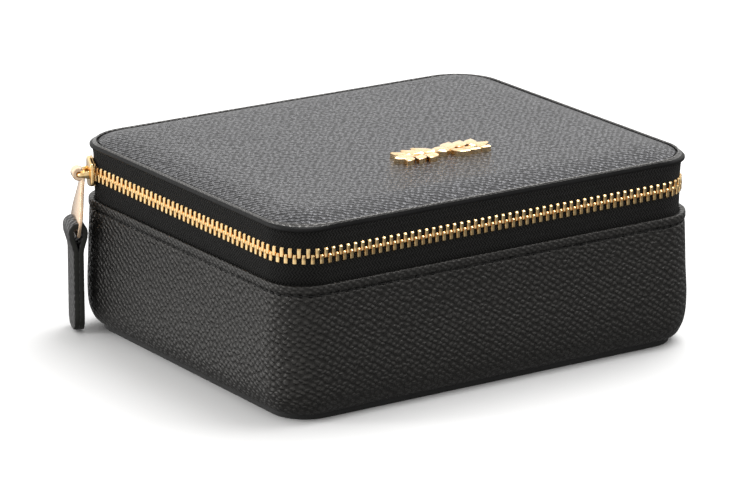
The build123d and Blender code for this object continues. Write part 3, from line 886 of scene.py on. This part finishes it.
def make_welt():
    """Raised bead and smooth side band round the lid, with the stitch groove inside the bead."""
    low, high = WELT_BOTTOM, WELT_TOP
    ridge = RIDGE_CORNER
    line = [(-0.56, low + 0.1, ZIP_CORNER), (-0.4, low, 13.0), (-0.2, low), (0.0, low + 0.15),
            (0.08, low + 0.5), (0.05, low + 0.9), (-0.08, high - 0.75, 12.6), (-0.18, high - 0.45, 13.8),
            (-0.13, high - 0.12, ridge), (-0.25, high + 0.15, ridge), (-0.48, high + 0.24, ridge),
            (-0.7, high + 0.14, ridge), (-0.8, high - 0.15, ridge), (-0.88, high - 0.7, ridge),
            (-1.4, high - 0.7, ridge), (-1.7, high - 0.85, ridge), (-1.7, low + 0.9, ridge),
            (-0.56, low + 0.9, ZIP_CORNER)]
    mesh = ring_mesh("lid_edge_welt", line, CORNER, wobble=0.05, steps=FINE_STEPS)
    add_piece(mesh, WELT_LEATHER, "lid", "lid_welt", 60)
    # The bead's top faces take the paler piping leather, partly a painted highlight along the ridge.
    mesh.materials.append(PIPING_LEATHER)
    for face in mesh.polygons:
        face.material_index = 1 if face.center.z > (high - 0.3) * MM else 0


def leaf_mesh(length, rise, rim):
    """One leaf lying along x: lens outline, sloped sides up to a raised rib, on an upright rim."""
    steps, half = 12, length / 2
    left = [(half * (2 * step / steps - 1), length * 0.29 * sin(pi * step / steps) ** 0.9)
            for step in range(steps + 1)]
    border = left + [(x, -y) for x, y in left[-2:0:-1]]
    count = len(border)
    work = bmesh.new()
    base = [work.verts.new(Vector((x, y, 0)) * MM) for x, y in border]
    edge = [work.verts.new(Vector((x, y, rim)) * MM) for x, y in border]
    inset = [work.verts.new(Vector((x * 0.95, y * 0.84, rim + 0.12)) * MM) for x, y in border]
    for i in range(-1, count - 1):
        work.faces.new((base[i], base[i + 1], edge[i + 1], edge[i]))
        work.faces.new((edge[i], edge[i + 1], inset[i + 1], inset[i]))
    rib = [work.verts.new(Vector((x * 0.93, 0, rise)) * MM) for x, _ in left[1:-1]]
    rib = [inset[0]] + rib + [inset[steps]]
    for step in range(steps):
        add_face(work, (rib[step], rib[step + 1], inset[step + 1], inset[step]))
        add_face(work, (rib[step], rib[step + 1], inset[-step - 1], inset[-step]))
    work.faces.new(base[::-1])
    return as_mesh(work, "leaf")


def add_face(work, verts):
    """Add a face, leaving out corners that fall together."""
    unique = []
    for vert in verts:
        if vert not in unique:
            unique.append(vert)
    if len(unique) > 2:
        work.faces.new(unique)


def profile_mesh(name, points, half, bevel):
    """Extrude an (x, z) outline both ways along y and round its edges."""
    work = bmesh.new()
    front = [work.verts.new((x * MM, -half * MM, z * MM)) for x, z in points]
    back = [work.verts.new((x * MM, half * MM, z * MM)) for x, z in points]
    work.faces.new(front)
    work.faces.new(back[::-1])
    for i in range(-1, len(points) - 1):
        work.faces.new((front[i], back[i], back[i + 1], front[i + 1]))
    bmesh.ops.recalc_face_normals(work, faces=work.faces)
    bmesh.ops.bevel(work, geom=list(work.edges), offset=bevel * MM, segments=2, profile=0.6,
                    affect="EDGES", clamp_overlap=True)
    return as_mesh(work, name)


def dome_mesh(radius, rim, rise):
    """Low bead: an upright rim under a rounded cap."""
    cap = rise - rim
    rows = ((1, 0), (1, rim), (0.93, rim + 0.3 * cap), (0.7, rim + 0.75 * cap), (0.35, rise))
    return loft("dome", [[(radius * size * cos(a), radius * size * sin(a), height) for a in circle(24)]
                         for size, height in rows])


def make_emblem():
    """Symmetrical sprig of leaves round a bead, a plain ornament."""
    low, high = box_of("emblem")
    centre = Vector(((low.x + high.x) / 2, -25.5, LID_TOP))
    rim, rise = 1.55, 1.95
    parts = []

    def put(mesh, x, y, angle):
        spot = Matrix.Translation((centre + Vector((x, y, 0))) * MM)
        parts.append((mesh, spot @ Matrix.Rotation(radians(angle), 4, "Z")))

    put(dome_mesh(2.7, rim, rise + 0.3), 0, -0.4, 0)
    stem = [(-12.5, -0.2), (12.5, -0.2), (12.5, 1.3), (-12.5, 1.3)]
    put(profile_mesh("stem", stem, 0.75, 0.2), 0, -1.0, 0)
    for side in (-1, 1):
        for step in range(3):
            x = side * (4.5 + 4.1 * step)
            put(leaf_mesh(8.6 - 0.9 * step, rise, rim), x, 2.1, 90 - side * 38)
            put(leaf_mesh(6.4 - 0.6 * step, rise - 0.1, rim - 0.05), x + side * 0.6, -3.6, 90 + side * 46)
        put(leaf_mesh(7.4, rise, rim), side * 13.6, -1.0, 0)
    add_piece(join_meshes("emblem_sprig", parts), EMBLEM_GOLD, "lid", "emblem", 30)


# ---- hinge


def make_hinge():
    """Leather gusset outside and suede strip inside, between the case and the lid."""
    sheets = [("hinge_gusset", "hinge_leather", TAPE_CENTRE, 0.45, BINDING_TOP - 3, WELT_BOTTOM + 0.4,
               TRIM_LEATHER, "trim_leather"),
              ("hinge_strip", "hinge_lining", TAPE_CENTRE - 0.95, 0.3, BINDING_TOP + 0.3,
               LID_BOARD_BOTTOM - 0.1, SUEDE, "lining")]
    rows = 20
    for name, node, u, half, low, high, material, slot in sheets:
        heights = [low + (high - low) * i / rows for i in range(rows + 1)]
        section = [(u + half, z) for z in heights] + [(u - half, z) for z in heights[::-1]]
        obj = new_object(ring_mesh(name, section, ZIP_CORNER, ZIP_FINISH - 8, ZIP_START), material, 60)
        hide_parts(node)
        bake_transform(obj)


# ---- inside fittings

def padded_bar(name, low, high):
    """Upright padded wall filling a box: slightly full sides, a rounded top and soft ends."""
    columns, puff = 40, 0.3
    section = [(-0.9, 0.0), (-1.0, 0.08), (-1.0, 0.5), (-1.0, 0.86), (-0.9, 0.94), (-0.55, 0.985), (0.0, 1.0),
               (0.55, 0.985), (0.9, 0.94), (1.0, 0.86), (1.0, 0.5), (1.0, 0.08), (0.9, 0.0)]
    middle, size = (low + high) / 2, high - low
    length, half = max(size.x, size.y), min(size.x, size.y) / 2
    rings = []
    for i in range(columns + 1):
        along = i / columns
        squeeze = min(1.0, 0.55 + 9 * min(along, 1 - along))
        ring = []
        for across, up in section:
            full = half - puff + puff * sin(pi * up) * squeeze
            wave = noise.noise(Vector((along * length / 9, up * 2, across + low.z))) * 0.1
            reach = across * (full * squeeze + wave)
            spot = (low.x + length * along, middle.y + reach)
            if size.y > size.x:
                spot = (middle.x + reach, low.y + length * along)
            ring.append((*spot, low.z + size.z * up))
        rings.append(ring)
    return loft(name, rings)


def make_dividers():
    for node in ("divider_long", "divider_cross", "divider_short"):
        mesh = padded_bar(node + "_pad", *box_of(node))
        add_piece(mesh, SUEDE, "case", node, 60)


def pillow(name, border, low, high, rise, edge, body, node):
    """Padded slab: sides that swell a little, a rounded rim and a crowned top."""
    middle = sum((Vector(p) for p in border), Vector((0, 0))) / len(border)
    round_off = min((high - low) * 0.4, 1.6)
    rows = [(1 - edge * 0.3, low), (1.0, low + (high - low) * 0.25), (1.0, high - round_off),
            (1 - edge * 0.25, high - 0.12 * round_off)]
    steps = 8
    rows += [(1 - edge - (1 - edge) * i / steps, high + rise * (1 - ((steps - i) / steps) ** 2))
             for i in range(steps)]
    rings = []
    for share, z in rows:
        spots = [middle + (Vector(p) - middle) * share for p in border]
        rings.append([(s.x, s.y, z + noise.noise(Vector((s.x, s.y, z)) / 9.0) * 0.12) for s in spots])
    obj = add_piece(loft(name, rings, domed=True), SUEDE, body, node, 60)
    return obj


def cavity_border(u, steps=(24, 10)):
    return [tuple(outline(m, u, ZIP_CORNER)[0]) for m in stations(0, 8, *steps)[:-1]]


def clip_border(border, limit):
    """The part of a border left of x = limit, closed along it with evenly spaced points."""
    kept = [p for p in border if p[0] < limit - 0.5]
    low, high = min(p[1] for p in kept), max(p[1] for p in kept)
    start = max(range(len(kept)), key=lambda i: (kept[i][0], kept[i][1] > 0))
    kept = kept[start:] + kept[:start]
    if kept[0][1] < 0:
        kept = kept[1:] + kept[:1]
    return kept + [(limit, low + (high - low) * i / 30) for i in range(31)]


def make_ring_bay():
    low, high = box_of("ring_block")
    border = clip_border(cavity_border(LINING_IN - 0.15), high.x)
    pillow("ring_pad", border, low.z, high.z - 0.5, 0.35, 0.03, "case", "ring_block")
    for index in range(1, 5):
        make_roll(f"ring_roll_{index}")


def make_roll(node):
    """Foam roll in suede: full in the middle, with gathers running in to each end."""
    low, high = box_of(node)
    middle = (low + high) / 2
    radius, half = (high.x - low.x) / 2, (high.y - low.y) / 2
    ends = [(0.0, 0.1), (0.002, 0.45), (0.006, 0.78), (0.016, 0.95), (0.035, 0.99)]
    rows = ends + [(0.035 + 0.93 * i / 40, 1.0) for i in range(1, 40)]
    rows += [(1 - share, girth) for share, girth in ends[::-1]]
    spokes = 48
    rings = []
    for share, girth in rows:
        ring = []
        for step, angle in enumerate(circle(spokes)):
            fold = 0.05 * sin(angle * 12) * (1 - girth)
            swell = noise.noise(Vector((share * 9, angle, low.x))) * 0.012
            seam = 0.03 if step == spokes * 3 // 4 else 0.0
            reach = radius * (girth * (0.985 + swell - seam) + fold)
            ring.append((middle.x + reach * cos(angle), middle.y + half * (2 * share - 1),
                         middle.z + reach * sin(angle)))
        rings.append(ring)
    mesh = loft(node + "_pad", rings, domed=True)
    add_piece(mesh, SUEDE, "case", node)


def make_body_lining():
    """Suede tub: a thin shell with a rolled rim, and a floor with a soft cove round it."""
    floor, rim = bottom_of("body_lining"), top_of("body_lining")
    cove_end, underside = LINING_IN - 3.0, floor + 0.05
    outer = [(BOARD_IN - 0.05, floor + 0.3), (BOARD_IN - 0.05, rim - 0.9), (BOARD_OUT - 0.15, rim - 0.75),
             (BOARD_OUT - 0.15, rim - 0.2), (BOARD_OUT - 0.4, rim)]
    inner = [(LINING_IN + 0.25, rim), (LINING_IN, rim - 0.4), (LINING_IN, 30.0), (LINING_IN, 18.0),
             (LINING_IN, FLOOR_TOP + 0.9), (LINING_IN - 0.25, FLOOR_TOP + 0.3), (LINING_IN - 0.9, FLOOR_TOP)]
    cove = [(cove_end, FLOOR_TOP), (cove_end, underside), (BOARD_IN - 0.35, underside)]
    walls = ring_mesh("tub_walls", outer + inner + cove, ZIP_CORNER)
    border = cavity_border(cove_end)
    sheet = loft("tub_floor", [[(*spot, z) for spot in border] for z in (FLOOR_TOP, underside)])
    mesh = join_meshes("lining_tub", [(walls, Matrix()), (sheet, Matrix())])
    add_piece(mesh, SUEDE, "case", "body_lining", 50)


def make_lid_inside():
    """Padded suede panel inside the lid, made face up and turned over, with a gathered pocket on it."""
    low, high = box_of("lid_lining_panel")
    border = [(x, -y) for x, y in cavity_border(-5.6)]
    pad = pillow("lid_pad", border, -high.z + 0.02, -low.z - 0.25, 0.25, 0.02, "lid", "lid_lining_panel")
    pad.data.transform(Matrix.Rotation(pi, 4, "X"))
    make_pocket(*box_of("lid_pocket"))


FOLDS = 21
FOLD_DEPTH = 0.45


def round_corner(spot, low, high, radius):
    """Draw a point near a corner of a rectangle in to the corner's arc."""
    x, y = spot
    gap = Vector((radius - min(x - low.x, high.x - x), radius - min(y - low.y, high.y - y)))
    if min(gap) <= 0 or gap.length <= radius:
        return x, y
    shift = gap - gap.normalized() * radius
    middle = (low + high) / 2
    return x + shift.x * (1 if x < middle.x else -1), y + shift.y * (1 if y < middle.y else -1)


def make_pocket(low, high):
    """Pocket panel: gathers that open towards an elastic edge at the front."""
    columns, rows, corner = 120, 24, 6.0
    size = high - low
    rings = []
    for j in range(rows + 1):
        front, back = [], []
        for i in range(columns + 1):
            h, v = i / columns, j / rows
            spot = round_corner((low.x + size.x * h, low.y + size.y * v), low, high, corner)
            front.append((*spot, high.z - gathers(h, v) * size.z))
            back.append((*spot, high.z))
        rings.append(front + back[::-1])
    mesh = loft("pocket_panel", rings, ladder=True)
    obj = add_piece(mesh, SUEDE, "lid", "lid_pocket", 70)


def gathers(across, up):
    """Pocket depth from 0 to 1: folds that are deep at the open edge and die out below."""
    fold = 0.5 + 0.5 * sin(across * 2 * pi * FOLDS + 1.5 * noise.noise(Vector((across * 6, up * 2, 0))))
    hem = 0.25 if up > 0.93 else 0.0
    seam = min(across, 1 - across, up + 0.02) * 14
    body = 0.3 + FOLD_DEPTH * fold * (0.3 + 0.7 * up) + hem
    return max(min(seam, 1.0), 0.12) * body


# ---- stage

def make_camera():
    """The photograph's viewpoint: 34 degrees to the left of the front, 17 degrees up."""
    azimuth, elevation, roll = radians(-33.86), radians(16.80), radians(0.17)
    distance = 1351.6
    target = Vector((-3.56, 0.51, 30.0))
    back = Vector((sin(azimuth) * cos(elevation), -cos(azimuth) * cos(elevation), sin(elevation)))
    right = (-back).cross(Vector((0, 0, 1))).normalized()
    up = right.cross(-back)
    turned = (cos(roll) * right + sin(roll) * up, -sin(roll) * right + cos(roll) * up, back)
    camera = bpy.data.objects.new("camera", bpy.data.cameras.new("camera"))
    scene.collection.objects.link(camera)
    camera.data.sensor_width = 36.0
    camera.data.lens = 210.56
    camera.data.clip_end = 100
    rotation = Matrix([[turned[c][r] for c in range(3)] for r in range(3)]).to_4x4()
    camera.matrix_world = Matrix.Translation((target + back * distance) * MM) @ rotation
    scene.camera = camera


def make_floor():
    size = 30.0
    mesh = bpy.data.meshes.new("floor")
    mesh.from_pydata([(-size, -size, 0), (size, -size, 0), (size, size, 0), (-size, size, 0)], [],
                     [(0, 1, 2, 3)])
    tree = Tree("floor", (0.86, 0.86, 0.86), 0.9, Specular_IOR_Level=0.0)
    floor = new_object(mesh, tree.material)
    floor.visible_glossy = False


def make_world():
    """Soft studio surround: bright above and behind, dark low down except towards the left."""
    scene.world = bpy.data.worlds.new("studio")
    tree = Nodes(scene.world)
    spot = tree.node("ShaderNodeTexCoord", output="Generated")
    y, z = (tree.node("ShaderNodeSeparateXYZ", output=axis, Vector=spot) for axis in "YZ")
    above = tree.ramp(y, -0.9, 0.9, 0.80, 1.30)
    zenith = tree.ramp(z, 0.35, 0.95, 1.0, 0.75)
    bright = tree.math("MULTIPLY", above, zenith)
    background = tree.nodes["Background"]
    tree.set(background, "Color", (1.0, 0.995, 0.985, 1))
    tree.set(background, "Strength", tree.ramp(tree.dot(spot, -0.35, 0.0, 1.0), -0.48, -0.02, 0.18, bright))


def area_light(name, place, aim, size, power):
    data = bpy.data.lights.new(name, "AREA")
    data.shape = "RECTANGLE"
    data.size, data.size_y = size
    data.energy = power
    light = bpy.data.objects.new(name, data)
    scene.collection.objects.link(light)
    light.location = place
    light.rotation_euler = (Vector(aim) - Vector(place)).to_track_quat("-Z", "Y").to_euler()


def make_lights():
    area_light("key", (0.5, 0.2, 1.3), (0, 0, 0.03), (0.9, 0.9), 14)
    area_light("left_strip", (-1.1, 0.5, 0.5), (0, 0, 0.03), (0.25, 0.9), 4)
    area_light("front_glint", (0.69, -0.37, 1.03), (0, 0, 0.05), (0.45, 0.45), 2.6)


def dress_cad_nodes():
    """Materials for the CAD nodes that stay."""
    looks = {"base_leather": BASE_LEATHER, "base_board": BOARD, "wall_board": BOARD, "lid_board": BOARD,
             "wall_foam": FOAM, "lid_foam": FOAM, "emblem_washers": EMBLEM_GOLD,
             "zip_top_stop_lower": GOLD, "zip_top_stop_upper": GOLD, "zip_bottom_stop": GOLD}
    for name, node in frame["nodes"].items():
        node.data.materials.clear()
        node.data.materials.append(looks.get(name, SUEDE))


make_camera()
make_floor()
make_world()
make_lights()
dress_cad_nodes()
make_wall()
make_binding()
make_welt()
make_lid_skin()
make_stitches()
for is_upper in (False, True):
    make_tape(is_upper)
    make_teeth(is_upper)
make_slider()
make_pull()
make_tab()
make_emblem()
make_hinge()
make_body_lining()
make_dividers()
make_ring_bay()
make_lid_inside()
